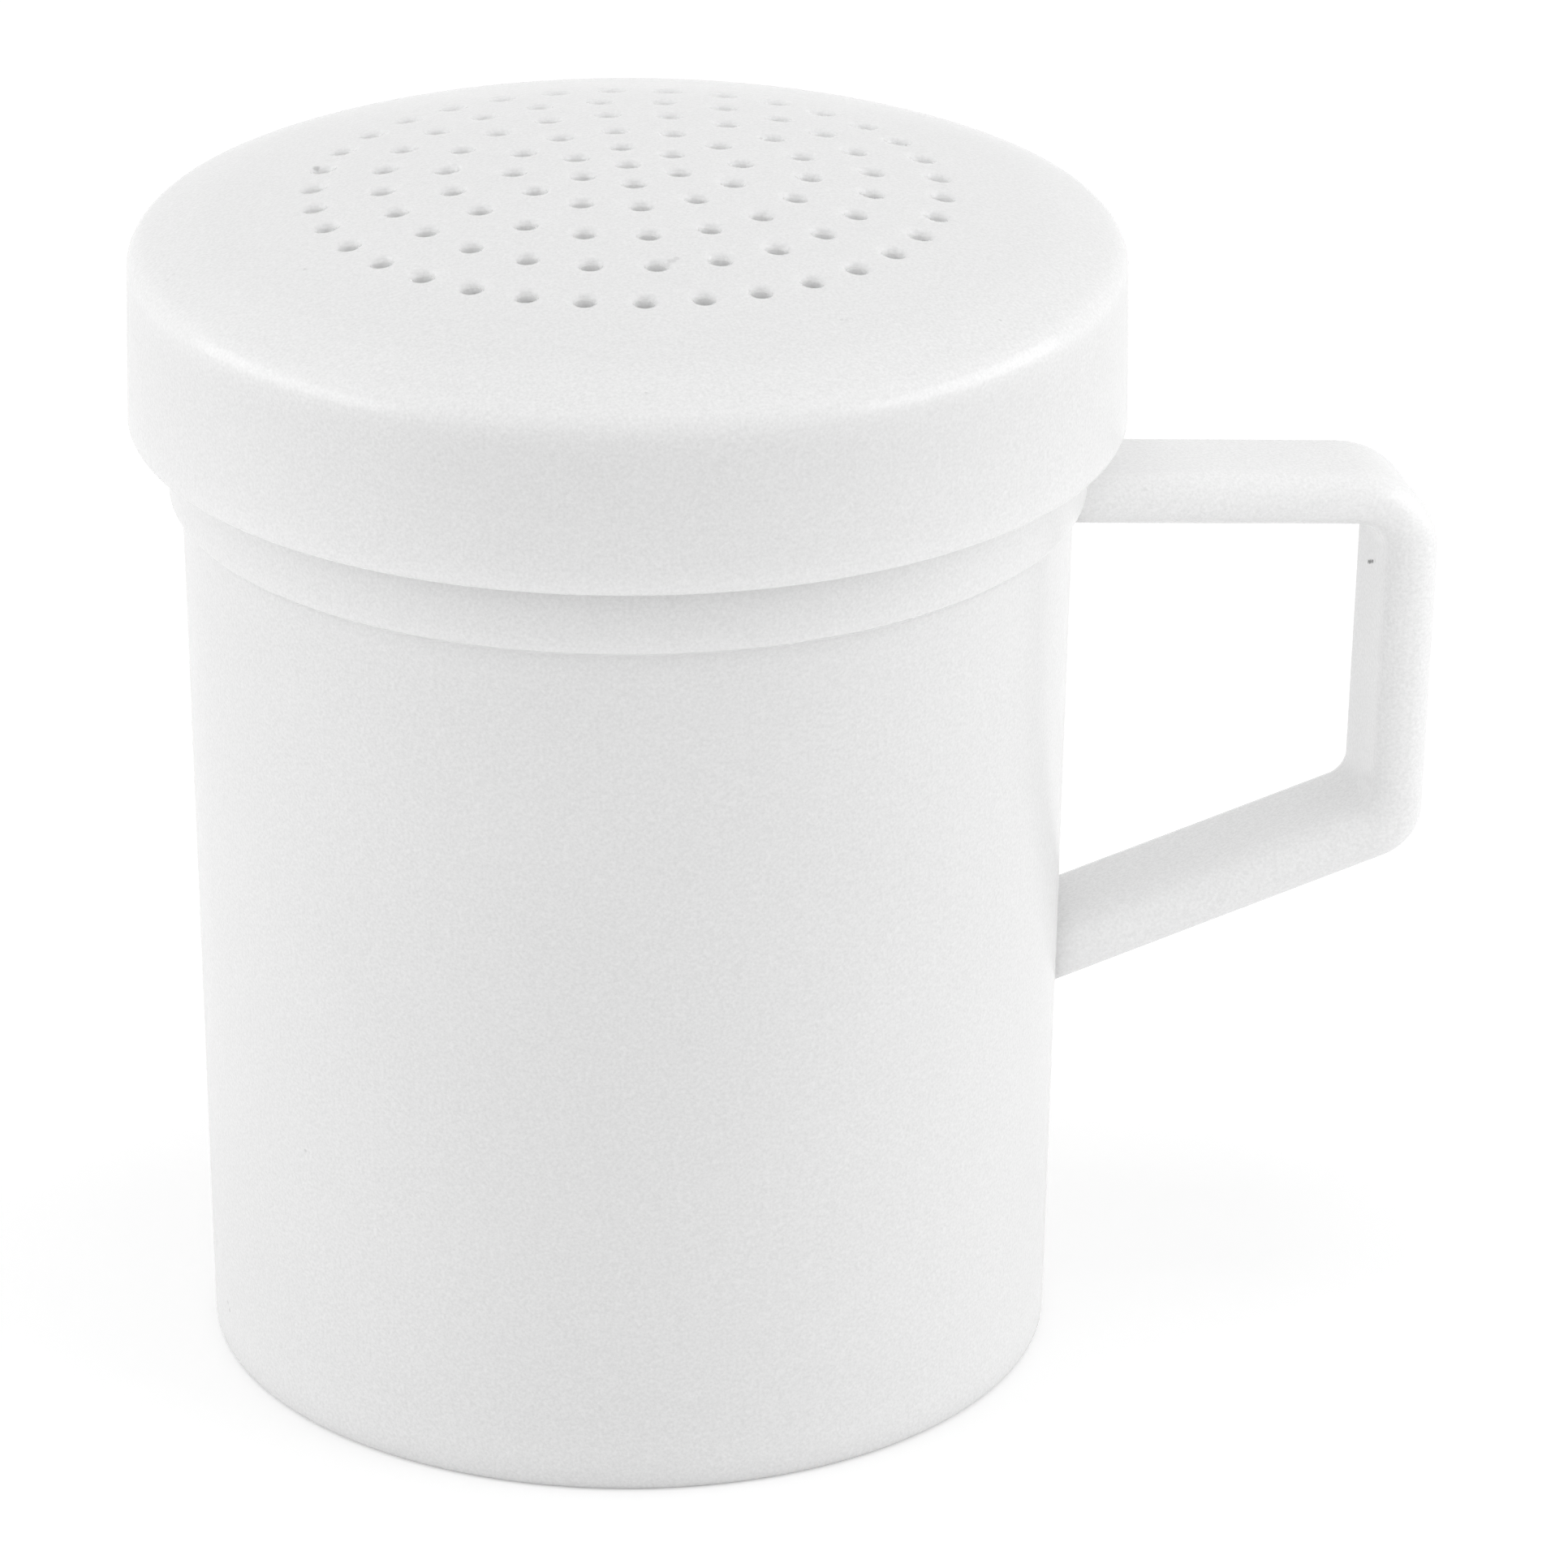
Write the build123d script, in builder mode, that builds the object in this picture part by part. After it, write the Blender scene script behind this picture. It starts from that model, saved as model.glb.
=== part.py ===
"""Handled dredge: a white plastic shaker cup with a strap handle and a perforated push-on lid.

Frame: millimetres, +Z up, origin at the centre of the flat base, handle along +X.
"""

import os
from math import asin, cos, degrees, pi, radians, sin, sqrt

from build123d import *

# ---- driving dimensions ------------------------------------------------------------------

# cup
base_radius = 33.65
wall_top_radius = 34.9
wall_thickness = 1.9
floor_thickness = 2.2
base_edge_radius = 0.7
floor_corner_radius = 3.0

# underside of the cup: foot ring outside, flat pad in the middle, shallow recess between
pad_radius = 10.0
recess_outer_radius = 29.0
recess_depth = 0.8
recess_slope = 0.8

# neck band: the thicker top of the cup, which the lid goes over
neck_radius = 35.9
neck_wall = 2.0
neck_bottom = 71.5
neck_step_radius = 0.7
neck_inner_step_low = 73.0
neck_inner_step_high = 74.2
rim_height = 90.0
rim_edge_radius = 0.5

# snap bead round the neck band
bead_height = 85.6
bead_proud = 0.45
bead_flat = 0.6
bead_slope = 1.1

# lid
overall_height = 97.8
dome_sphere_radius = 127.0
dome_reach = 34.0
shoulder_radius = 25.0
shoulder_fall = 24.0
lid_thickness = 1.8
lid_top_radius = 38.75
lid_bottom_radius = 39.0
lid_edge_radius = 2.0
lid_corner_radius = 0.6
skirt_bottom = 77.5
skirt_inner_radius = 37.2
skirt_lip_radius = 0.4

# snap ring inside the skirt, under the cup's bead, and sealing ring inside the mouth
snap_clearance = 0.3
snap_height = 82.6
seal_clearance = 0.15
seal_wall = 1.3
seal_bottom = 86.0
seal_chamfer = 0.5

# shake-out holes: one in the middle, then rings that all start on one line
hole_diameter = 1.8
hole_rings = [(4.3, 6), (8.8, 12), (14.0, 18), (19.0, 24), (24.3, 34)]
hole_start_angle = 144.5

# strap handle, drawn in the XZ plane
strap_width = 10.8
strap_thickness = 4.3
lower_arm_thickness = 4.7
strap_edge_radius = 1.6
arm_station = 50.0
upper_arm_top = 69.5
upper_arm_fall = 5.0
lower_arm_underside = 31.8
lower_arm_rise = 17.2
grip_station = 55.0
grip_reach = 65.2
grip_lean = 1.35
handle_root = 31.0
outer_top_radius = 7.0
inner_top_radius = 2.7
inner_bottom_radius = 2.0
outer_bottom_radius = 4.5

# ---- sizes worked out from them ----------------------------------------------------------

dome_centre = overall_height - dome_sphere_radius
neck_inner_radius = neck_radius - neck_wall
bead_half_width = bead_flat / 2 + bead_slope
snap_inner_radius = neck_radius + bead_proud + snap_clearance
snap_slope = skirt_inner_radius - snap_inner_radius
seal_radius = neck_inner_radius - seal_clearance
hole_depth = 2 * (overall_height - rim_height)


def dome_height(sphere_radius, radius):
    """Height of a dome surface, concentric with the lid's outside, at a radius from the axis."""
    return dome_centre + sqrt(sphere_radius**2 - radius**2)


def along(point, angle, distance):
    """The point a distance away from another, in a direction given in degrees."""
    return (
        point[0] + distance * cos(radians(angle)),
        point[1] + distance * sin(radians(angle)),
    )


def crossing(point_a, angle_a, point_b, angle_b):
    """Where a line through point_a meets a line through point_b."""
    turn = sin(radians(angle_b - angle_a))
    gap = (point_b[0] - point_a[0], point_b[1] - point_a[1])
    reach = (gap[0] * sin(radians(angle_b)) - gap[1] * cos(radians(angle_b))) / turn
    return along(point_a, angle_a, reach)


os.makedirs("parts", exist_ok=True)

# ---- cup body: base, wall and neck band, one revolved wall ---------------------------------

with BuildPart() as cup_body:
    with BuildSketch(Plane.XZ):
        with BuildLine():
            Polyline(
                (0, 0),
                (pad_radius, 0),
                (pad_radius + recess_slope, recess_depth),
                (recess_outer_radius - recess_slope, recess_depth),
                (recess_outer_radius, 0),
                (base_radius, 0),
                (wall_top_radius, neck_bottom),
                (neck_radius, neck_bottom),
                (neck_radius, bead_height - bead_half_width),
                (neck_radius + bead_proud, bead_height - bead_flat / 2),
                (neck_radius + bead_proud, bead_height + bead_flat / 2),
                (neck_radius, bead_height + bead_half_width),
                (neck_radius, rim_height),
                (neck_inner_radius, rim_height),
                (neck_inner_radius, neck_inner_step_high),
                (wall_top_radius - wall_thickness, neck_inner_step_low),
                (base_radius - wall_thickness, floor_thickness),
                (0, floor_thickness),
                close=True,
            )
        make_face()
    revolve(axis=Axis.Z)

    rings = cup_body.edges().filter_by(GeomType.CIRCLE)
    at_base_edge = rings.filter_by(lambda edge: abs(edge.radius - base_radius) < 0.01)
    fillet(at_base_edge, base_edge_radius)

    rings = cup_body.edges().filter_by(GeomType.CIRCLE)
    at_neck_step = rings.filter_by_position(Axis.Z, neck_bottom - 0.01, neck_bottom + 0.01)
    fillet(at_neck_step.sort_by(lambda edge: edge.radius)[-1], neck_step_radius)

    rings = cup_body.edges().filter_by(GeomType.CIRCLE)
    fillet(rings.filter_by_position(Axis.Z, rim_height - 0.01, rim_height + 0.01), rim_edge_radius)

    rings = cup_body.edges().filter_by(GeomType.CIRCLE)
    on_floor = rings.filter_by_position(Axis.Z, floor_thickness - 0.01, floor_thickness + 0.01)
    fillet(on_floor.sort_by(lambda edge: edge.radius)[-1], floor_corner_radius)

# ---- strap handle: a flat strap bent round the finger gap, rounded along its edges -----------

upper_angle = -upper_arm_fall
grip_angle = 90 - grip_lean
lower_angle = lower_arm_rise

upper_outside = (arm_station, upper_arm_top)
upper_inside = along(upper_outside, upper_angle - 90, strap_thickness)
grip_outside = (grip_reach, grip_station)
grip_inside = along(grip_outside, grip_angle + 90, strap_thickness)
lower_outside = (arm_station, lower_arm_underside)
lower_inside = along(lower_outside, lower_angle + 90, lower_arm_thickness)
root_line = (handle_root, 0)

with BuildPart() as cup_outside:
    with BuildSketch(Plane.XZ):
        with BuildLine():
            Polyline(
                (0, 0),
                (base_radius, 0),
                (wall_top_radius, neck_bottom),
                (0, neck_bottom),
                close=True,
            )
        make_face()
    revolve(axis=Axis.Z)

with BuildPart() as strap_handle:
    with BuildSketch(Plane.XZ):
        with BuildLine():
            outer_start = crossing(root_line, 90, upper_outside, upper_angle)
            outer_end = crossing(root_line, 90, lower_outside, lower_angle)
            inner_start = crossing(root_line, 90, upper_inside, upper_angle)
            inner_end = crossing(root_line, 90, lower_inside, lower_angle)
            FilletPolyline(
                outer_start,
                crossing(upper_outside, upper_angle, grip_outside, grip_angle),
                crossing(grip_outside, grip_angle, lower_outside, lower_angle),
                outer_end,
                radius=[outer_top_radius, outer_bottom_radius],
            )
            FilletPolyline(
                inner_start,
                crossing(upper_inside, upper_angle, grip_inside, grip_angle),
                crossing(grip_inside, grip_angle, lower_inside, lower_angle),
                inner_end,
                radius=[inner_top_radius, inner_bottom_radius],
            )
            Line(outer_start, inner_start)
            Line(inner_end, outer_end)
        make_face()
    extrude(amount=strap_width / 2, both=True)

    side_faces = strap_handle.faces().filter_by(Axis.Y)
    strap_edges = side_faces.edges().filter_by_position(
        Axis.X, handle_root + 0.01, 2 * grip_reach, inclusive=(False, False)
    )
    fillet(strap_edges, strap_edge_radius)
    add(cup_outside.part, mode=Mode.SUBTRACT)

# ---- lid: dome with a steeper shoulder, rounded edge, skirt, snap ring, seal and the holes -----

with BuildPart() as perforated_lid:
    with BuildSketch(Plane.XZ):
        with BuildLine():
            dome_edge = (dome_reach, dome_height(dome_sphere_radius, dome_reach))
            dome_fall = degrees(asin(dome_reach / dome_sphere_radius))
            shoulder_centre = along(dome_edge, -90 - dome_fall, shoulder_radius)
            shoulder_edge = along(shoulder_centre, 90 - shoulder_fall, shoulder_radius)
            lid_corner = crossing(shoulder_edge, -shoulder_fall, (lid_top_radius, 0), 90)
            inner_sphere_radius = dome_sphere_radius - lid_thickness
            seal_inner_radius = seal_radius - seal_wall
            ceiling_edge = (seal_inner_radius, dome_height(inner_sphere_radius, seal_inner_radius))
            RadiusArc((0, overall_height), dome_edge, dome_sphere_radius)
            RadiusArc(dome_edge, shoulder_edge, shoulder_radius)
            Polyline(
                shoulder_edge,
                lid_corner,
                (lid_bottom_radius, skirt_bottom),
                (skirt_inner_radius, skirt_bottom),
                (skirt_inner_radius, snap_height - snap_slope),
                (snap_inner_radius, snap_height),
                (skirt_inner_radius, snap_height + snap_slope),
                (skirt_inner_radius, rim_height),
                (seal_radius, rim_height),
                (seal_radius, seal_bottom + seal_chamfer),
                (seal_radius - seal_chamfer, seal_bottom),
                (seal_inner_radius, seal_bottom),
                ceiling_edge,
            )
            RadiusArc(ceiling_edge, (0, overall_height - lid_thickness), -inner_sphere_radius)
            Line((0, overall_height - lid_thickness), (0, overall_height))
        make_face()
    revolve(axis=Axis.Z)

    rings = perforated_lid.edges().filter_by(GeomType.CIRCLE)
    fillet(rings.filter_by(lambda edge: abs(edge.radius - lid_top_radius) < 0.01), lid_edge_radius)

    rings = perforated_lid.edges().filter_by(GeomType.CIRCLE)
    fillet(rings.filter_by_position(Axis.Z, skirt_bottom - 0.01, skirt_bottom + 0.01), skirt_lip_radius)

    rings = perforated_lid.edges().filter_by(GeomType.CIRCLE)
    under_the_edge = rings.filter_by_position(Axis.Z, rim_height - 0.01, rim_height + 0.01)
    fillet(under_the_edge.sort_by(lambda edge: edge.radius)[-1], lid_corner_radius)

    with Locations((0, 0, overall_height)):
        Hole(radius=hole_diameter / 2, depth=hole_depth)
    for ring_radius, hole_count in hole_rings:
        with Locations((0, 0, overall_height)):
            with PolarLocations(ring_radius, hole_count, start_angle=hole_start_angle):
                Hole(radius=hole_diameter / 2, depth=hole_depth)

# ---- the pieces ------------------------------------------------------------------------------

cup_body.part.label = "cup_body"
strap_handle.part.label = "strap_handle"
perforated_lid.part.label = "perforated_lid"
export_step(cup_body.part, "parts/cup_body.step")
export_step(strap_handle.part, "parts/strap_handle.step")
export_step(perforated_lid.part, "parts/perforated_lid.step")

holes = 1 + sum(hole_count for ring_radius, hole_count in hole_rings)
inner_mean_radius = (base_radius + wall_top_radius) / 2 - wall_thickness
capacity = pi * inner_mean_radius**2 * (rim_height - floor_thickness) / 1000
print("holes", holes)
print("capacity to the rim, about", round(capacity), "ml")
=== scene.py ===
from math import asin, ceil, cos, pi, radians, sin, sqrt, tan

import bmesh
import bpy
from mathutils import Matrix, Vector


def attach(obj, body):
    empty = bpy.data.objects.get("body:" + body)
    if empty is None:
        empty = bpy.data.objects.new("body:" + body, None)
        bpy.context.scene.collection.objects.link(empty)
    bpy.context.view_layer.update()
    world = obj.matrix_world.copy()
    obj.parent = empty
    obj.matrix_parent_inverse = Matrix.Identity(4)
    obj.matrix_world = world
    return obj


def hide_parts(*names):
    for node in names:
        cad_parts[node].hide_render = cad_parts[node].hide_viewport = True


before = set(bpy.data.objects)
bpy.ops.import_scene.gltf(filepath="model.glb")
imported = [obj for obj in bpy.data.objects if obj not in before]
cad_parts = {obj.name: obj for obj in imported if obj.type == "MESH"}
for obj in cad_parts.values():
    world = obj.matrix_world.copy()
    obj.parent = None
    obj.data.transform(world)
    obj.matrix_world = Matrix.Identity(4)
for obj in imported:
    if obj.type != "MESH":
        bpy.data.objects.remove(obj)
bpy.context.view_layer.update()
print("frame loaded:", ", ".join(sorted(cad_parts)))

# Blender works in metres; the pieces and the camera are given in millimetres and degrees
mm = 0.001


def inScene(name, data):
    item = bpy.data.objects.new(name, data)
    bpy.context.scene.collection.objects.link(item)
    return item


# a line through (x, z, rounding) corners, with an arc at each rounded one
def bentLine(corners, arcSteps=6):
    line = []
    for place, (x, z, rounding) in enumerate(corners):
        here = Vector((x, z))
        if rounding == 0 or place in (0, len(corners) - 1):
            line.append(here)
            continue
        back = (Vector(corners[place - 1][:2]) - here).normalized()
        ahead = (Vector(corners[place + 1][:2]) - here).normalized()
        half = back.angle(ahead) / 2
        centre = here + (back + ahead).normalized() * rounding / sin(half)
        first = here + back * rounding / tan(half) - centre
        last = here + ahead * rounding / tan(half) - centre
        sweep = pi - 2 * half
        for step in range(arcSteps + 1):
            share = step / arcSteps
            spoke = first * sin((1 - share) * sweep) + last * sin(share * sweep)
            line.append(centre + spoke / sin(sweep))
    return line


# points near both ends of a straight run keep the shading of the round corners off the flats
def withSupports(line, near=0.2, longest=5.0):
    shortest = 5 * near
    filled = [line[0]]
    for start, end in zip(line, line[1:]):
        run = (end - start).length
        if run > shortest:
            along = (end - start) / run
            middle = run - 2 * near
            pieces = ceil(middle / longest)
            for step in range(pieces + 1):
                filled.append(start + along * (near + middle * step / pieces))
        filled.append(end)
    return filled


def profileObject(name, line):
    mesh = bpy.data.meshes.new(name)
    points = [(x * mm, 0, z * mm) for x, z in line]
    mesh.from_pydata(points, [(step, step + 1) for step in range(len(line) - 1)], [])
    return inScene(name, mesh)


# a geometry tree with the given inputs and one output
def newTree(name, inputs):
    tree = bpy.data.node_groups.new(name, "GeometryNodeTree")
    for label, kind in inputs:
        tree.interface.new_socket(label, in_out="INPUT", socket_type="NodeSocket" + kind)
    tree.interface.new_socket("Body", in_out="OUTPUT", socket_type="NodeSocketGeometry")
    return tree, tree.nodes.new("NodeGroupInput"), tree.nodes.new("NodeGroupOutput")


# a node whose sockets take values or other nodes' outputs; i0 is the first socket, i1 the second
def nodeWith(tree, kind, settings=None, **sockets):
    node = tree.nodes.new(kind)
    for setting, value in (settings or {}).items():
        setattr(node, setting, value)
    for label, value in sockets.items():
        byPlace = label[0] == "i" and label[1:].isdigit()
        socket = node.inputs[int(label[1:]) if byPlace else label.replace("_", " ")]
        if isinstance(value, bpy.types.NodeSocket):
            tree.links.new(value, socket)
        else:
            socket.default_value = value
    return node


# one step of arithmetic, in any kind of tree
def calculate(tree, operation, *values, kind="ShaderNodeMath"):
    inputs = {f"i{place}": value for place, value in enumerate(values)}
    node = nodeWith(tree, kind, {"operation": operation}, **inputs)
    return node.outputs["Value" if operation in ("LENGTH", "DISTANCE") else 0]


wholeMath = "FunctionNodeIntegerMath"
vectorMath = "ShaderNodeVectorMath"
weldDistance = 1e-6
turnedInputs = [("Profile", "Geometry"), ("Profile Points", "Int"), ("Segments", "Int")]
finishInputs = [("Sharp Angle", "Float"), ("Material", "Material")]


# turns a profile line round the axis: a grid of stations by profile points, wrapped up and welded
def turningTree():
    tree, given, result = newTree("turnedBody", turnedInputs)
    points = given.outputs["Profile Points"]
    segments = given.outputs["Segments"]
    stations = calculate(tree, "ADD", segments, 1, kind=wholeMath)
    grid = nodeWith(tree, "GeometryNodeMeshGrid", Vertices_X=stations, Vertices_Y=points)
    index = nodeWith(tree, "GeometryNodeInputIndex").outputs[0]
    station = calculate(tree, "DIVIDE_FLOOR", index, points, kind=wholeMath)
    place = calculate(tree, "MODULO", index, points, kind=wholeMath)
    position = nodeWith(tree, "GeometryNodeInputPosition").outputs[0]
    sample = nodeWith(
        tree, "GeometryNodeSampleIndex", {"data_type": "FLOAT_VECTOR"},
        Geometry=given.outputs["Profile"], Value=position, Index=place,
    )
    angle = calculate(tree, "MULTIPLY", calculate(tree, "DIVIDE", station, segments), 2 * pi)
    turned = nodeWith(
        tree, "ShaderNodeVectorRotate", {"rotation_type": "Z_AXIS"},
        Vector=sample.outputs[0], Angle=angle,
    )
    wrapped = nodeWith(
        tree, "GeometryNodeSetPosition", Geometry=grid.outputs[0], Position=turned.outputs[0],
    )
    welded = nodeWith(
        tree, "GeometryNodeMergeByDistance", Geometry=wrapped.outputs[0], Distance=weldDistance,
    )
    tree.links.new(welded.outputs[0], result.inputs[0])
    return tree


def turnedProfile(tree, given):
    taken = {label.replace(" ", "_"): given.outputs[label] for label, kind in turnedInputs}
    return nodeWith(tree, "GeometryNodeGroup", {"node_tree": turnedBody}, **taken).outputs[0]


# smooth faces with sharp edges past an angle, then the end that every finished tree has
def finishTree(tree, given, result, body):
    bend = nodeWith(tree, "GeometryNodeInputMeshEdgeAngle")
    isSharp = nodeWith(
        tree, "FunctionNodeCompare", {"data_type": "FLOAT", "operation": "GREATER_THAN"},
        A=bend.outputs[0], B=given.outputs["Sharp Angle"],
    )
    smooth = nodeWith(
        tree, "GeometryNodeSetShadeSmooth", {"domain": "FACE"}, Geometry=body, Shade_Smooth=True,
    )
    creased = nodeWith(
        tree, "GeometryNodeSetShadeSmooth", {"domain": "EDGE"},
        Geometry=smooth.outputs[0], Selection=isSharp.outputs[0], Shade_Smooth=False,
    )
    real = nodeWith(tree, "GeometryNodeRealizeInstances", Geometry=creased.outputs[0])
    coated = nodeWith(
        tree, "GeometryNodeSetMaterial",
        Geometry=real.outputs[0], Material=given.outputs["Material"],
    )
    tree.links.new(coated.outputs[0], result.inputs[0])


# the result of an object's node tree as a plain mesh object of its own
def bakedPiece(name, source, tree, values):
    modifier = source.modifiers.new(tree.name, "NODES")
    modifier.node_group = tree
    for item in tree.interface.items_tree:
        if item.item_type == "SOCKET" and item.in_out == "INPUT" and item.name in values:
            modifier[item.identifier] = values[item.name]
    evaluated = source.evaluated_get(bpy.context.evaluated_depsgraph_get())
    mesh = bpy.data.meshes.new_from_object(evaluated)
    source.modifiers.remove(modifier)
    bpy.data.objects.remove(source)
    mesh.name = name
    print(name, "baked,", sum(len(face.vertices) - 2 for face in mesh.polygons), "triangles")
    return inScene(name, mesh)


# white plastic that glows a little inside: a fine moulded grain, a slow cloudiness, slightly
# uneven gloss and a few small marks
plastic = {
    "white": (0.86, 0.86, 0.86),
    # painted light: a whiter inner side, brightening the shaded hole walls and the insides
    "innerPaintedLightWhite": (0.97, 0.97, 0.97),
    "coneFoot": {"cup": 32.9, "handle": 0, "lid": 35.8},
    "coneSlope": 0.0175,
    "sphereCentre": {"cup": 1001.2, "handle": 0, "lid": -29.2},
    "sphereRadius": {"cup": 1000.0, "handle": 0, "lid": 126.7},
    "grain": {"size": 0.24, "detail": 2.0, "roughness": 0.6, "range": (0.25, 0.75), "tone": 0.15},
    "cloud": {"size": 30.0, "detail": 2.0, "roughness": 0.5, "range": (0.25, 0.75), "tone": 0.03},
    "gloss": {"size": 6.0, "detail": 3.0, "roughness": 0.6, "range": (0.3, 0.7)},
    "grainDepth": 0.012,
    "roughness": (0.16, 0.22),
    "refraction": 1.49,
    "glowShare": 0.85,
    "glowColour": (1.0, 1.0, 1.0),
    "glowDepth": {"cup": 2.5, "handle": 5.0, "lid": 2.5},
    "markRaggedness": 0.9,
    "markEdge": (0.8, 1.4),
}
# where there is a speck, a short scratch or a darker patch: its middle, its size and its tone
marks = {
    "cup": (
        ((-29.5, -17.1, 24.4), 0.22, 0.7),
        ((-33.59, -2.96, 4.6), 0.26, 0.68),
        ((-33.54, -3.4, 4.1), 0.28, 0.66),
    ),
    "handle": (
        ((61.0, 0.75, 59.2), 0.22, 0.15),
        ((61.0, 0.45, 59.33), 0.25, 0.1),
        ((61.0, 0.15, 59.47), 0.25, 0.1),
        ((61.0, -0.15, 59.6), 0.25, 0.1),
        ((61.0, -0.45, 59.73), 0.22, 0.15),
        ((61.0, -1.0, 59.98), 0.24, 0.7),
        ((40.6, -5.2, 69.5), 0.34, 0.77),
        ((46.2, -4.6, 69.62), 0.24, 0.79),
        ((46.6, -4.6, 69.58), 0.22, 0.8),
    ),
    "lid": (
        ((-1.0, -18.85, 96.4), 0.46, 0.68),
        ((-0.6, -18.6, 96.44), 0.46, 0.68),
        ((-0.15, -18.3, 96.48), 0.4, 0.72),
        # a darker patch on the lip of one hole at the back
        ((-22.45, 11.15, 95.2), 0.42, 0.55),
        ((10.35, -27.96, 94.25), 0.22, 0.76),
        ((10.7, -27.96, 94.21), 0.2, 0.78),
        ((22.9, -26.72, 92.8), 0.2, 0.72),
        ((-27.0, -9.5, 94.53), 0.24, 0.72),
        ((-6.2, -35.45, 92.52), 0.22, 0.75),
        ((-36.6, -3.4, 92.21), 0.26, 0.79),
        ((-36.0, -2.9, 92.47), 0.24, 0.79),
    ),
}


def noiseOf(tree, place, pattern):
    return nodeWith(
        tree, "ShaderNodeTexNoise", Vector=place, Scale=1 / (pattern["size"] * mm),
        Detail=pattern["detail"], Roughness=pattern["roughness"],
    ).outputs[0]


# the usual range of a noise, stretched to run from one value to another
def stretched(tree, noise, pattern, low, high):
    return nodeWith(
        tree, "ShaderNodeMapRange", Value=noise,
        From_Min=pattern["range"][0], From_Max=pattern["range"][1], To_Min=low, To_Max=high,
    ).outputs[0]


def toneOf(tree, noise, pattern):
    return stretched(tree, noise, pattern, 1 - pattern["tone"] / 2, 1 + pattern["tone"] / 2)


def mixed(tree, share, first, second):
    mix = nodeWith(tree, "ShaderNodeMix", {"data_type": "RGBA"}, i0=share, i6=first, i7=second)
    return mix.outputs[2]


# the inner side, behind a cone inside the wall and a sphere under the dome, is painted whiter:
# painted light that brightens the shaded hole walls and the insides, in place of light coming
# through the plastic
def paintedInnerLightColour(tree, place, piece):
    height = nodeWith(tree, "ShaderNodeSeparateXYZ", Vector=place).outputs["Z"]
    flat = calculate(tree, "MULTIPLY", place, (1, 1, 0), kind=vectorMath)
    reach = calculate(tree, "LENGTH", flat, kind=vectorMath)
    foot = plastic["coneFoot"][piece] * mm
    cone = calculate(tree, "MULTIPLY_ADD", height, plastic["coneSlope"], foot)
    centre = (0, 0, plastic["sphereCentre"][piece] * mm)
    away = calculate(tree, "DISTANCE", place, centre, kind=vectorMath)
    withinWall = calculate(tree, "LESS_THAN", reach, cone)
    withinDome = calculate(tree, "LESS_THAN", away, plastic["sphereRadius"][piece] * mm)
    inner = calculate(tree, "MULTIPLY", withinWall, withinDome)
    return mixed(tree, inner, (*plastic["white"], 1), (*plastic["innerPaintedLightWhite"], 1))


# a mark's edge is made ragged by the grain
def markedColour(tree, place, grain, colour, middle, size, tone):
    centre = tuple(length * mm for length in middle)
    away = calculate(tree, "DISTANCE", place, centre, kind=vectorMath)
    raggedness = size * mm * plastic["markRaggedness"]
    ragged = calculate(tree, "MULTIPLY_ADD", grain, raggedness, away)
    inside = nodeWith(
        tree, "ShaderNodeMapRange", {"interpolation_type": "SMOOTHSTEP"}, Value=ragged,
        From_Min=size * mm * plastic["markEdge"][0], From_Max=size * mm * plastic["markEdge"][1],
        To_Min=1.0, To_Max=0.0,
    )
    return mixed(tree, inside.outputs[0], colour, (tone, tone, tone, 1))


def whitePlastic(piece):
    material = bpy.data.materials.new(piece + "Plastic")
    material.use_nodes = True
    tree = material.node_tree
    shader = tree.nodes["Principled BSDF"]
    place = nodeWith(tree, "ShaderNodeTexCoord").outputs["Object"]
    grain = noiseOf(tree, place, plastic["grain"])
    cloud = noiseOf(tree, place, plastic["cloud"])
    gloss = noiseOf(tree, place, plastic["gloss"])
    grainTone = toneOf(tree, grain, plastic["grain"])
    cloudTone = toneOf(tree, cloud, plastic["cloud"])
    colour = nodeWith(
        tree, vectorMath, {"operation": "SCALE"},
        i0=paintedInnerLightColour(tree, place, piece), Scale=calculate(tree, "MULTIPLY", grainTone, cloudTone),
    ).outputs[0]
    for middle, size, tone in marks[piece]:
        colour = markedColour(tree, place, grain, colour, middle, size, tone)
    tree.links.new(colour, shader.inputs["Base Color"])
    roughness = stretched(tree, gloss, plastic["gloss"], *plastic["roughness"])
    tree.links.new(roughness, shader.inputs["Roughness"])
    bump = nodeWith(
        tree, "ShaderNodeBump", Strength=1.0, Distance=plastic["grainDepth"] * mm, Height=grain,
    )
    tree.links.new(bump.outputs[0], shader.inputs["Normal"])
    shader.inputs["IOR"].default_value = plastic["refraction"]
    shader.inputs["Subsurface Weight"].default_value = plastic["glowShare"]
    shader.inputs["Subsurface Radius"].default_value = plastic["glowColour"]
    shader.inputs["Subsurface Scale"].default_value = plastic["glowDepth"][piece] * mm
    return material


cupPlastic = whitePlastic("cup")
handlePlastic = whitePlastic("handle")
lidPlastic = whitePlastic("lid")
print("materials ready")

turnedBody = turningTree()

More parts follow.
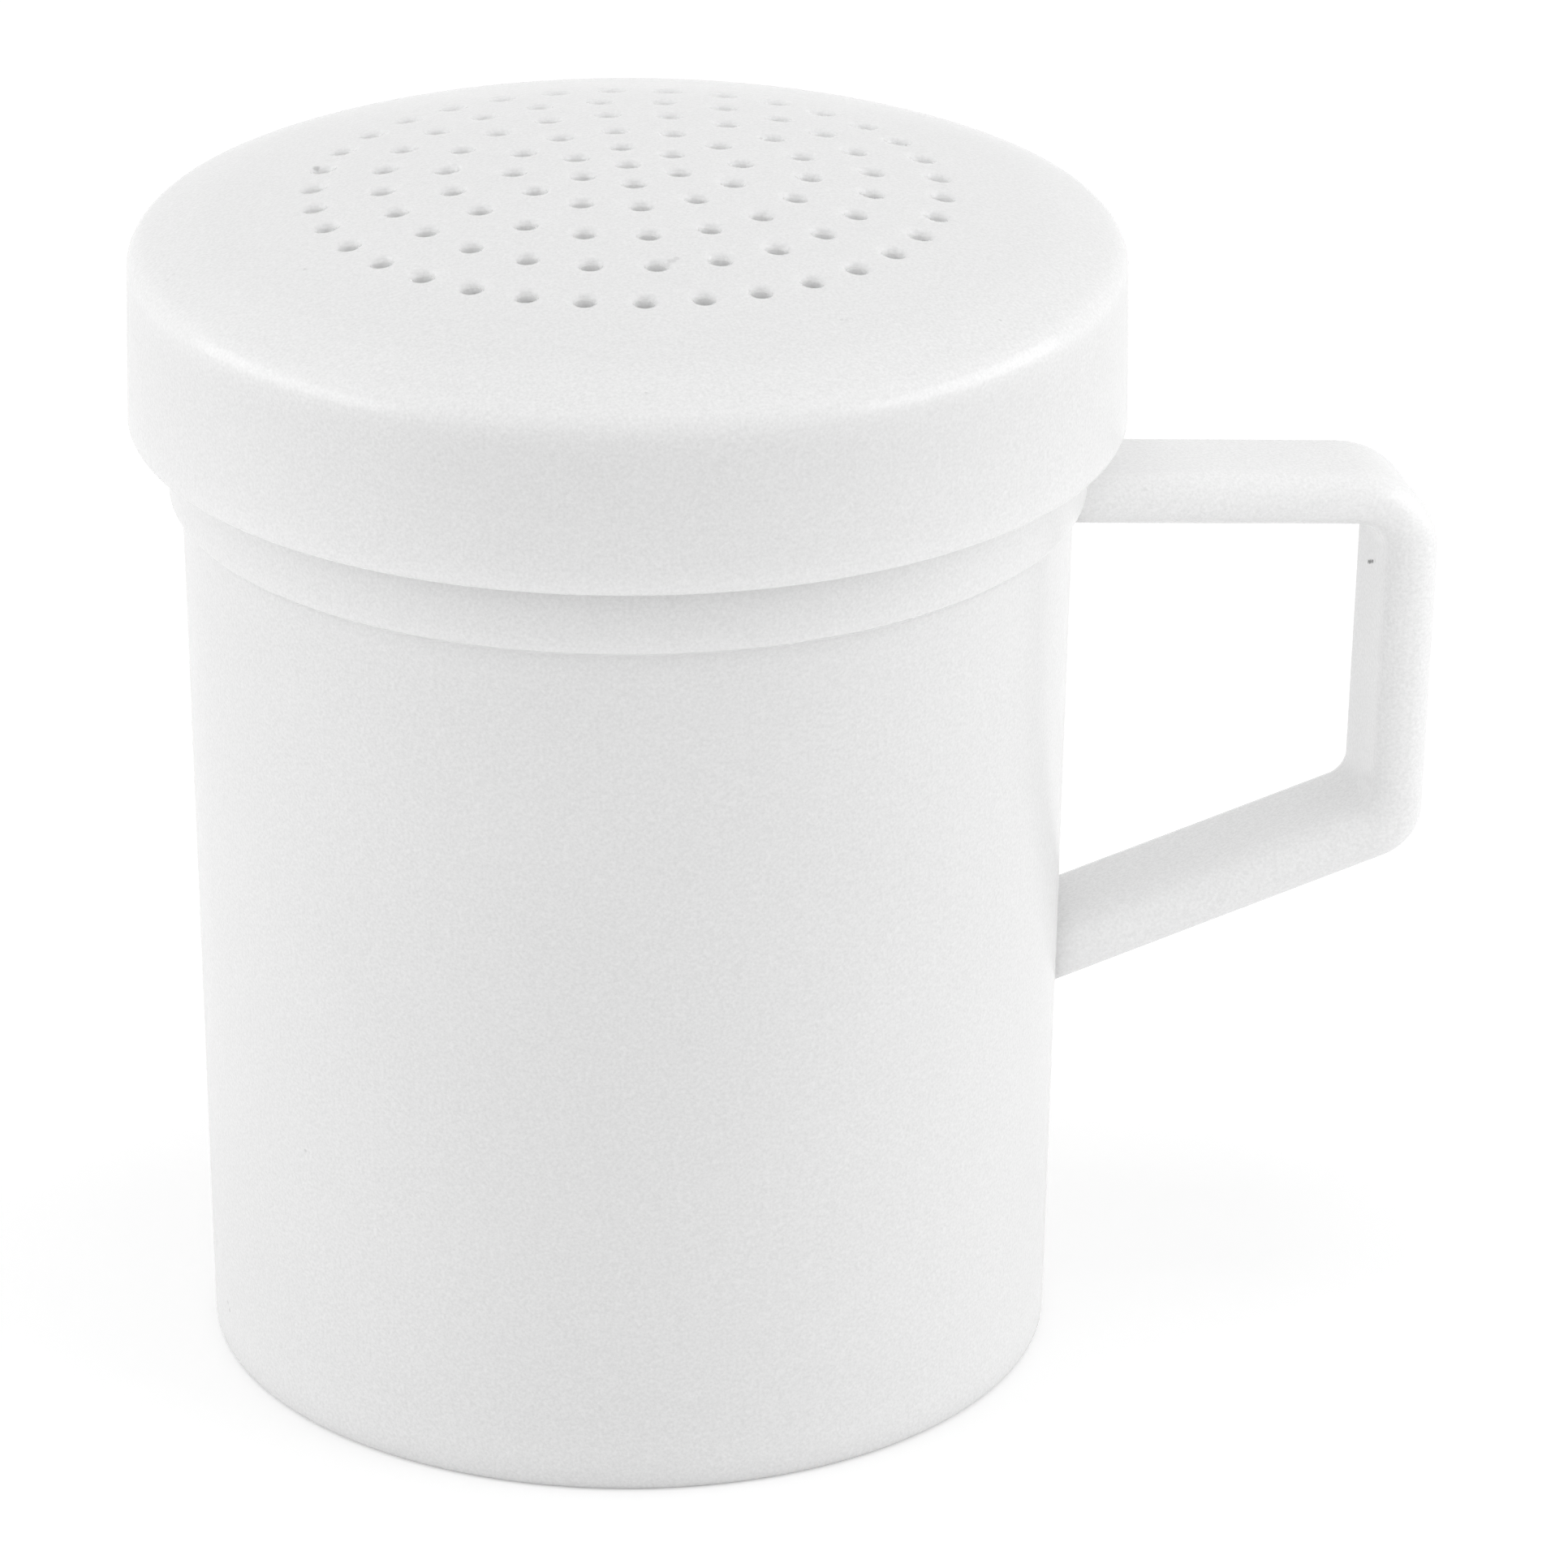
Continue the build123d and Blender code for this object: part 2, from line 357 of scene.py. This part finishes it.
# the cup: foot ring, wall, thick neck band and snap bead, turned in one piece
cup = {
    "baseRadius": 33.65,
    "wallTopRadius": 34.9,
    "wall": 1.9,
    "floor": 2.2,
    "neckRadius": 35.9,
    "neckInside": 33.9,
    "neckBottom": 71.5,
    "stepDrop": 0.4,
    "stepRise": 0.2,
    "innerStepLow": 1.5,
    "innerStepHigh": 2.7,
    "rimHeight": 90.0,
    "beadHeight": 85.6,
    "beadRadius": 36.35,
    "beadFoot": 1.4,
    "beadFlat": 0.3,
    "recessDepth": 0.8,
    "recessRadius": 29.0,
    "padRadius": 10.0,
    "gateRadius": 1.0,
    "gateHeight": 0.2,
    "dishRadius": 3.2,
    "dishSlope": 0.4,
    "dishDepths": (0.6, 0.5),
    "roundings": {
        "gate": 0.15,
        "gateFoot": 0.1,
        "dish": 0.2,
        "foot": 0.3,
        "recess": 0.4,
        "base": 0.7,
        "stepFoot": 0.6,
        "stepEdge": 0.25,
        "beadFoot": 0.4,
        "bead": 0.3,
        "rim": 0.6,
        "innerStep": 1.0,
        "floor": 3.0,
    },
    "segments": 192,
    "sharpAngle": 45,
}


# from the middle of the underside, up the outside, over the rim and down to the floor
def cupLine():
    base = cup["baseRadius"]
    top = cup["wallTopRadius"]
    neck = cup["neckRadius"]
    bottom = cup["neckBottom"]
    bead = cup["beadHeight"]
    depth = cup["recessDepth"]
    rounded = cup["roundings"]
    return withSupports(bentLine([
        (0, cup["gateHeight"], 0),
        (cup["gateRadius"], cup["gateHeight"], rounded["gate"]),
        (cup["gateRadius"], cup["dishDepths"][0], rounded["gateFoot"]),
        (cup["dishRadius"], cup["dishDepths"][1], rounded["dish"]),
        (cup["dishRadius"] + cup["dishSlope"], 0, rounded["dish"]),
        (cup["padRadius"], 0, rounded["foot"]),
        (cup["padRadius"] + depth, depth, rounded["recess"]),
        (cup["recessRadius"] - depth, depth, rounded["recess"]),
        (cup["recessRadius"], 0, rounded["foot"]),
        (base, 0, rounded["base"]),
        (top, bottom - cup["stepDrop"], rounded["stepFoot"]),
        (neck, bottom + cup["stepRise"], rounded["stepEdge"]),
        (neck, bead - cup["beadFoot"], rounded["beadFoot"]),
        (cup["beadRadius"], bead - cup["beadFlat"], rounded["bead"]),
        (cup["beadRadius"], bead + cup["beadFlat"], rounded["bead"]),
        (neck, bead + cup["beadFoot"], rounded["beadFoot"]),
        (neck, cup["rimHeight"], rounded["rim"]),
        (cup["neckInside"], cup["rimHeight"], rounded["rim"]),
        (cup["neckInside"], bottom + cup["innerStepHigh"], rounded["innerStep"]),
        (top - cup["wall"], bottom + cup["innerStepLow"], rounded["innerStep"]),
        (base - cup["wall"], cup["floor"], rounded["floor"]),
        (0, cup["floor"], 0),
    ]))


def cupTree():
    tree, given, result = newTree("cupTree", turnedInputs + finishInputs)
    finishTree(tree, given, result, turnedProfile(tree, given))
    return tree


line = cupLine()
cupPiece = bakedPiece("cup", profileObject("cupProfile", line), cupTree(), {
    "Profile Points": len(line),
    "Segments": cup["segments"],
    "Sharp Angle": radians(cup["sharpAngle"]),
    "Material": cupPlastic,
})
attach(cupPiece, "cup")
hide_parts("cup_body")

# the strap handle: an outer and an inner rail carry a rounded section round the finger gap
strap = {
    "width": 10.8,
    "edgeRounding": 2.0,
    "upperArm": {"at": (50.0, 69.5), "angle": -5.0, "thickness": 4.3},
    "grip": {"at": (65.2, 55.0), "angle": 88.65, "thickness": 4.3},
    "lowerArm": {"at": (50.0, 31.8), "angle": 17.2, "thickness": 4.7},
    "outerRounding": (7.0, 4.5),
    "innerRounding": (2.7, 2.0),
    "startReach": 39.0,
    "bendSteps": 10,
    "edgeSteps": 16,
    "railSupports": {"near": 0.3, "longest": 6.0},
    "sectionSupports": {"near": 0.05, "longest": 2.5},
    "rootRounding": 0.4,
    "rootDepth": 0.5,
    "rootSteps": 6,
    "rootSupport": 0.2,
    "wallTries": 8,
    "sharpAngle": 45,
}


def heading(angle):
    return Vector((cos(radians(angle)), sin(radians(angle))))


# where two lines meet, each given by a point on it and its angle
def crossing(pointA, angleA, pointB, angleB):
    towardsA = heading(angleA)
    towardsB = heading(angleB)
    gap = Vector(pointB) - Vector(pointA)
    turn = towardsA.x * towardsB.y - towardsA.y * towardsB.x
    return Vector(pointA) + towardsA * (gap.x * towardsB.y - gap.y * towardsB.x) / turn


# the middle line of one face of the strap: depth 0 is its outside, 1 its inside
def railLine(depth, rounding):
    runs = []
    for arm, side in (("upperArm", -1), ("grip", 1), ("lowerArm", 1)):
        angle = strap[arm]["angle"]
        inward = heading(angle + 90 * side)
        runs.append((Vector(strap[arm]["at"]) + inward * strap[arm]["thickness"] * depth, angle))
    upper, grip, lower = runs
    start = (strap["startReach"], 0)
    return bentLine([
        (*crossing(start, 90, *upper), 0),
        (*crossing(*upper, *grip), rounding[0]),
        (*crossing(*grip, *lower), rounding[1]),
        (*crossing(start, 90, *lower), 0),
    ], arcSteps=strap["bendSteps"])


# the section's outline at one station, grown outwards where it flares into the cup
def strapSection(outer, inner, grow=0.0):
    thickness = (outer - inner).length
    across = (outer - inner) / thickness
    half = strap["width"] / 2 + grow
    rounding = strap["edgeRounding"] + grow
    supports = strap["sectionSupports"]
    outline = withSupports(bentLine([
        (0, thickness + grow, 0),
        (half, thickness + grow, rounding),
        (half, -grow, rounding),
        (-half, -grow, rounding),
        (-half, thickness + grow, rounding),
        (0, thickness + grow, 0),
    ], arcSteps=strap["edgeSteps"]), near=supports["near"], longest=supports["longest"] + grow)
    return [
        Vector((inner.x + across.x * up, side, inner.y + across.y * up))
        for side, up in outline[:-1]
    ]


# moves a point along its arm until it is the given height off the cup's wall
def ontoWall(point, angle, height):
    slope = tan(radians(angle))
    widening = cup["wallTopRadius"] - cup["baseRadius"]
    moved = point.copy()
    for attempt in range(strap["wallTries"]):
        wall = cup["baseRadius"] + widening * moved.z / cup["neckBottom"]
        moved.x = sqrt((wall + height) ** 2 - moved.y ** 2)
        moved.z = point.z + (moved.x - point.x) * slope
    return moved


# the sections from inside the cup's wall to the end of the flare, along one arm
def rootSections(outer, inner, angle):
    rounding = strap["rootRounding"]
    stages = [(-strap["rootDepth"], rounding)]
    for step in range(strap["rootSteps"] + 1):
        turn = radians(90 * step / strap["rootSteps"])
        stages.append((rounding * (1 - cos(turn)), rounding * (1 - sin(turn))))
    stages.append((rounding + strap["rootSupport"], 0.0))
    return [
        [ontoWall(point, angle, height) for point in strapSection(outer, inner, grow)]
        for height, grow in stages
    ]


def strapMesh():
    rails = zip(railLine(0, strap["outerRounding"]), railLine(1, strap["innerRounding"]))
    paired = [Vector((*outer, *inner)) for outer, inner in rails]
    stations = withSupports(paired, **strap["railSupports"])
    pairs = [(Vector(station[:2]), Vector(station[2:])) for station in stations]
    sections = rootSections(*pairs[0], strap["upperArm"]["angle"])
    sections += [strapSection(outer, inner) for outer, inner in pairs[1:-1]]
    sections += reversed(rootSections(*pairs[-1], strap["lowerArm"]["angle"]))
    around = len(sections[0])
    faces = []
    for row in range(len(sections) - 1):
        here = row * around
        ahead = here + around
        for place in range(around):
            after = (place + 1) % around
            faces.append((here + place, here + after, ahead + after, ahead + place))
    faces.append(tuple(reversed(range(around))))
    faces.append(tuple((len(sections) - 1) * around + place for place in range(around)))
    mesh = bpy.data.meshes.new("strapHandle")
    mesh.from_pydata([point * mm for section in sections for point in section], [], faces)
    shape = bmesh.new()
    shape.from_mesh(mesh)
    bmesh.ops.recalc_face_normals(shape, faces=shape.faces)
    for edge in shape.edges:
        edge.smooth = edge.calc_face_angle(0) < radians(strap["sharpAngle"])
    shape.to_mesh(mesh)
    shape.free()
    mesh.polygons.foreach_set("use_smooth", [True] * len(mesh.polygons))
    return mesh


strapPiece = inScene("strapHandle", strapMesh())
strapPiece.data.materials.append(handlePlastic)
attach(strapPiece, "cup")
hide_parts("strap_handle")
print("strapHandle built,", len(strapPiece.data.polygons), "faces")

# the lid: dome with a steeper shoulder, rounded edge, skirt, snap ring, sealing ring and holes
lid = {
    "height": 97.8,
    "domeRadius": 127.0,
    "domeReach": 34.0,
    "shoulderRadius": 25.0,
    "shoulderFall": 24.0,
    "thickness": 1.8,
    "topRadius": 38.75,
    "bottomRadius": 39.0,
    "skirtBottom": 77.5,
    "skirtInside": 37.2,
    "snapRadius": 36.65,
    "snapHeight": 82.6,
    "rimHeight": 90.0,
    "sealRadius": 33.75,
    "sealInside": 32.45,
    "sealBottom": 86.0,
    "sealChamfer": 0.5,
    "roundings": {
        "edge": 2.0,
        "lip": 0.4,
        "snapFoot": 0.2,
        "snap": 0.25,
        "corner": 0.6,
        "sealRoot": 0.4,
        "sealSide": 0.3,
        "sealTip": 0.2,
        "ceiling": 0.5,
    },
    # the dome is drawn finely where the holes are, and coarser outside them and on the ceiling
    "steps": {
        "holed": {"start": 0.0, "spacing": 0.5, "count": 54},
        "outer": {"start": 28.0, "spacing": 1.2, "count": 6},
        "ceiling": {"start": 0.0, "spacing": 2.5, "count": 13},
        "shoulder": 6,
        "arcs": 8,
    },
    "holes": {
        "radius": 0.8,
        "sides": 28,
        "edgeRounding": 0.5,
        "startAngle": 144.5,
        "rings": ((4.3, 6), (8.8, 12), (14.0, 18), (19.0, 24), (24.3, 34)),
        "pinLength": 4,  # in thicknesses of the lid
        # from steep to shallow, in edge roundings, with a radius past the hole's own
        "cones": (
            {"radius": 0.0, "height": -1.0, "slope": 0.2679, "length": 2.0},
            {"radius": -0.066, "height": -0.7, "slope": 1.0, "length": 1.7},
            {"radius": -0.119, "height": -0.3, "slope": 3.7321, "length": 1.3},
        ),
    },
    "segments": 240,
    "sharpAngle": 50,
}
holes = lid["holes"]


def spread(part):
    return [part["start"] + part["spacing"] * step for step in range(part["count"])]


# from the middle of the dome, down the outside and back up to the middle of the ceiling
def lidLine():
    centre = lid["height"] - lid["domeRadius"]
    inside = lid["domeRadius"] - lid["thickness"]
    snap = lid["skirtInside"] - lid["snapRadius"]
    steps = lid["steps"]
    fine = spread(steps["holed"]) + spread(steps["outer"])
    coarse = spread(steps["ceiling"])
    dome = [(reach, centre + sqrt(lid["domeRadius"] ** 2 - reach ** 2), 0) for reach in fine]
    domeFall = asin(lid["domeReach"] / lid["domeRadius"])
    shoulderFall = radians(lid["shoulderFall"])
    bend = lid["domeRadius"] - lid["shoulderRadius"]
    shoulder = []
    for step in range(steps["shoulder"] + 1):
        fall = domeFall + (shoulderFall - domeFall) * step / steps["shoulder"]
        reach = bend * sin(domeFall) + lid["shoulderRadius"] * sin(fall)
        height = centre + bend * cos(domeFall) + lid["shoulderRadius"] * cos(fall)
        shoulder.append((reach, height, 0))
    corner = shoulder[-1][1] - (lid["topRadius"] - shoulder[-1][0]) * tan(shoulderFall)
    ceiling = [(reach, centre + sqrt(inside ** 2 - reach ** 2), 0) for reach in reversed(coarse)]
    ceilingEdge = centre + sqrt(inside ** 2 - lid["sealInside"] ** 2)
    rounded = lid["roundings"]
    line = bentLine(dome + shoulder + [
        (lid["topRadius"], corner, rounded["edge"]),
        (lid["bottomRadius"], lid["skirtBottom"], rounded["lip"]),
        (lid["skirtInside"], lid["skirtBottom"], rounded["lip"]),
        (lid["skirtInside"], lid["snapHeight"] - snap, rounded["snapFoot"]),
        (lid["snapRadius"], lid["snapHeight"], rounded["snap"]),
        (lid["skirtInside"], lid["snapHeight"] + snap, rounded["snapFoot"]),
        (lid["skirtInside"], lid["rimHeight"], rounded["corner"]),
        (lid["sealRadius"], lid["rimHeight"], rounded["sealRoot"]),
        (lid["sealRadius"], lid["sealBottom"] + lid["sealChamfer"], rounded["sealSide"]),
        (lid["sealRadius"] - lid["sealChamfer"], lid["sealBottom"], rounded["sealTip"]),
        (lid["sealInside"], lid["sealBottom"], rounded["sealSide"]),
        (lid["sealInside"], ceilingEdge, rounded["ceiling"]),
    ] + ceiling, arcSteps=steps["arcs"])
    return withSupports(line[::-1])  # upwards along the outside, so that the faces point outwards


holeInputs = [
    ("Dome Radius", "Float"), ("Dome Centre", "Float"), ("Thickness", "Float"),
    ("Hole Radius", "Float"), ("Hole Sides", "Int"), ("Hole Edge", "Float"),
    ("Start Angle", "Float"),
]
ringInputs = []
for number in range(1, len(holes["rings"]) + 1):
    ringInputs += [(f"Ring {number} Radius", "Float"), (f"Ring {number} Holes", "Int")]


# rings of points on the dome, and at each the turn that points outwards from the dome's centre
def holePlaces(tree, take):
    joined = nodeWith(tree, "GeometryNodeJoinGeometry")
    middle = nodeWith(tree, "GeometryNodeMeshLine", Count=1)
    tree.links.new(middle.outputs[0], joined.inputs[0])
    for number in range(1, len(holes["rings"]) + 1):
        ring = nodeWith(
            tree, "GeometryNodeMeshCircle",
            Vertices=take[f"Ring {number} Holes"], Radius=take[f"Ring {number} Radius"],
        )
        tree.links.new(ring.outputs[0], joined.inputs[0])
    spin = nodeWith(tree, "ShaderNodeCombineXYZ", Z=take["Start Angle"])
    turned = nodeWith(
        tree, "GeometryNodeTransform", Geometry=joined.outputs[0], Rotation=spin.outputs[0],
    )
    position = nodeWith(tree, "GeometryNodeInputPosition").outputs[0]
    reach = calculate(tree, "LENGTH", position, kind=vectorMath)
    radiusSquared = calculate(tree, "POWER", take["Dome Radius"], 2)
    reachSquared = calculate(tree, "POWER", reach, 2)
    rise = calculate(tree, "SQRT", calculate(tree, "SUBTRACT", radiusSquared, reachSquared))
    height = calculate(tree, "ADD", rise, take["Dome Centre"])
    lift = nodeWith(tree, "ShaderNodeCombineXYZ", Z=height)
    places = nodeWith(
        tree, "GeometryNodeSetPosition", Geometry=turned.outputs[0], Offset=lift.outputs[0],
    )
    centre = nodeWith(tree, "ShaderNodeCombineXYZ", Z=take["Dome Centre"])
    outward = calculate(tree, "SUBTRACT", position, centre.outputs[0], kind=vectorMath)
    lean = nodeWith(tree, "FunctionNodeAlignRotationToVector", {"axis": "Z"}, Vector=outward)
    return places.outputs[0], lean.outputs[0]


# pins cut the holes straight through, and leaning cones round their mouths
def lidTree():
    inputs = turnedInputs + holeInputs + finishInputs + ringInputs
    tree, given, result = newTree("lidTree", inputs)
    take = given.outputs
    shape = turnedProfile(tree, given)
    places, lean = holePlaces(tree, take)
    pin = nodeWith(
        tree, "GeometryNodeMeshCylinder", Vertices=take["Hole Sides"], Radius=take["Hole Radius"],
        Depth=calculate(tree, "MULTIPLY", take["Thickness"], holes["pinLength"]),
    )
    cutters = [
        nodeWith(tree, "GeometryNodeInstanceOnPoints", Points=places, Instance=pin.outputs[0]),
    ]
    edge = take["Hole Edge"]
    for cone in holes["cones"]:
        narrow = calculate(tree, "MULTIPLY_ADD", edge, cone["radius"], take["Hole Radius"])
        wide = calculate(tree, "MULTIPLY_ADD", edge, cone["slope"] * cone["length"], narrow)
        funnel = nodeWith(
            tree, "GeometryNodeMeshCone", Vertices=take["Hole Sides"],
            Radius_Bottom=narrow, Radius_Top=wide,
            Depth=calculate(tree, "MULTIPLY", edge, cone["length"]),
        )
        drop = calculate(tree, "MULTIPLY", edge, cone["height"])
        seated = nodeWith(
            tree, "GeometryNodeTransform", Geometry=funnel.outputs[0],
            Translation=nodeWith(tree, "ShaderNodeCombineXYZ", Z=drop).outputs[0],
        )
        cutters.append(nodeWith(
            tree, "GeometryNodeInstanceOnPoints",
            Points=places, Instance=seated.outputs[0], Rotation=lean,
        ))
    for cutter in cutters:
        solid = nodeWith(tree, "GeometryNodeRealizeInstances", Geometry=cutter.outputs[0])
        cut = nodeWith(
            tree, "GeometryNodeMeshBoolean", {"operation": "DIFFERENCE", "solver": "MANIFOLD"},
        )
        tree.links.new(shape, cut.inputs["Mesh 1"])
        tree.links.new(solid.outputs[0], cut.inputs["Mesh 2"])
        shape = cut.outputs[0]
    finishTree(tree, given, result, shape)
    return tree


line = lidLine()
lidValues = {
    "Profile Points": len(line),
    "Segments": lid["segments"],
    "Dome Radius": lid["domeRadius"] * mm,
    "Dome Centre": (lid["height"] - lid["domeRadius"]) * mm,
    "Thickness": lid["thickness"] * mm,
    "Hole Radius": holes["radius"] * mm,
    "Hole Sides": holes["sides"],
    "Hole Edge": holes["edgeRounding"] * mm,
    "Start Angle": radians(holes["startAngle"]),
    "Sharp Angle": radians(lid["sharpAngle"]),
    "Material": lidPlastic,
}
for number, (radius, count) in enumerate(holes["rings"], 1):
    lidValues[f"Ring {number} Radius"] = radius * mm
    lidValues[f"Ring {number} Holes"] = count
lidPiece = bakedPiece("lid", profileObject("lidProfile", line), lidTree(), lidValues)
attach(lidPiece, "lid")
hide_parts("perforated_lid")

# metres: a pale floor keeps the shadow and, by a glow that rises beyond the lights, reads as
# white to the camera; in reflections the floor and the sky are a little dimmer
stage = {
    "floorSize": 8.0,
    "floorTone": 0.87,
    "nearFloor": 0.4,
    "farFloor": 0.9,
    "nearGlow": 0.24,
    "farGlow": 0.42,
    "ambient": 0.67,
    "mirrorShare": 0.7,
    "boxAim": (0, 0, 0.05),
    "boxDistance": 1.3,
}
# metres and degrees: turn is measured from the camera's side, positive to its right
softBoxes = {
    "leftBox": {"turn": -81, "rise": 16, "size": (1.4, 0.8), "power": 5.1, "mirrored": True},
    "rightBox": {"turn": 82, "rise": 16, "size": (1.45, 0.8), "power": 6.1, "mirrored": True},
    "topBox": {"turn": 0, "rise": 88, "size": (0.9, 0.9), "power": 2.75, "mirrored": False},
}
camera = {
    "place": (-131.23, -617.37, 318.48),
    "turned": (66.623, -0.325, -12.98),
    "side": -102,  # where it stands round the axis, from the handle
    "lens": 198.48,
    "sensor": 36.0,
    "nearest": 50.0,
    "farthest": 20000.0,
}


# one for what the camera sees, less for what the object mirrors, and none for the light it gets
def seenShare(tree):
    path = nodeWith(tree, "ShaderNodeLightPath").outputs
    mirrored = calculate(tree, "MULTIPLY", path["Is Glossy Ray"], stage["mirrorShare"])
    either = calculate(tree, "MAXIMUM", path["Is Camera Ray"], mirrored)
    return calculate(tree, "MAXIMUM", either, path["Is Transmission Ray"])


def makeFloor():
    half = stage["floorSize"] / 2
    corners = [(-half, -half, 0), (half, -half, 0), (half, half, 0), (-half, half, 0)]
    mesh = bpy.data.meshes.new("floor")
    mesh.from_pydata(corners, [], [(0, 1, 2, 3)])
    floor = inScene("floor", mesh)
    material = bpy.data.materials.new("paleFloor")
    material.use_nodes = True
    tree = material.node_tree
    tree.nodes.remove(tree.nodes["Principled BSDF"])
    paint = nodeWith(tree, "ShaderNodeBsdfDiffuse", Color=(stage["floorTone"],) * 3 + (1,))
    place = nodeWith(tree, "ShaderNodeTexCoord").outputs["Object"]
    level = nodeWith(
        tree, "ShaderNodeMapRange", Value=calculate(tree, "LENGTH", place, kind=vectorMath),
        From_Min=stage["nearFloor"], From_Max=stage["farFloor"],
        To_Min=stage["nearGlow"], To_Max=stage["farGlow"],
    )
    strength = calculate(tree, "MULTIPLY", seenShare(tree), level.outputs[0])
    glow = nodeWith(tree, "ShaderNodeEmission", Strength=strength)
    both = nodeWith(tree, "ShaderNodeAddShader", i0=paint.outputs[0], i1=glow.outputs[0])
    tree.links.new(both.outputs[0], tree.nodes["Material Output"].inputs[0])
    mesh.materials.append(material)


def makeWorld():
    world = bpy.data.worlds.new("studio")
    world.use_nodes = True
    bpy.context.scene.world = world
    tree = world.node_tree
    sky = tree.nodes["Background"]
    strength = nodeWith(
        tree, "ShaderNodeMapRange", Value=seenShare(tree), To_Min=stage["ambient"], To_Max=1.0,
    )
    tree.links.new(strength.outputs[0], sky.inputs["Strength"])
    sky.inputs["Color"].default_value = (1, 1, 1, 1)


def makeSoftBoxes():
    for name, box in softBoxes.items():
        turn = radians(box["turn"] + camera["side"])
        rise = radians(box["rise"])
        towards = Vector((cos(turn) * cos(rise), sin(turn) * cos(rise), sin(rise)))
        light = bpy.data.lights.new(name, "AREA")
        light.shape = "RECTANGLE"
        light.size, light.size_y = box["size"]
        light.energy = box["power"]
        lamp = inScene(name, light)
        lamp.location = Vector(stage["boxAim"]) + towards * stage["boxDistance"]
        lamp.rotation_euler = towards.to_track_quat("Z", "Y").to_euler()
        lamp.visible_glossy = box["mirrored"]


def makeCamera():
    data = bpy.data.cameras.new("camera")
    data.lens = camera["lens"]
    data.sensor_width = camera["sensor"]
    data.clip_start = camera["nearest"] * mm
    data.clip_end = camera["farthest"] * mm
    eye = inScene("camera", data)
    eye.location = Vector(camera["place"]) * mm
    eye.rotation_euler = [radians(angle) for angle in camera["turned"]]
    bpy.context.scene.camera = eye


makeFloor()
makeWorld()
makeSoftBoxes()
makeCamera()
bpy.context.scene.view_settings.view_transform = "Standard"
print("stage, lights and camera ready")
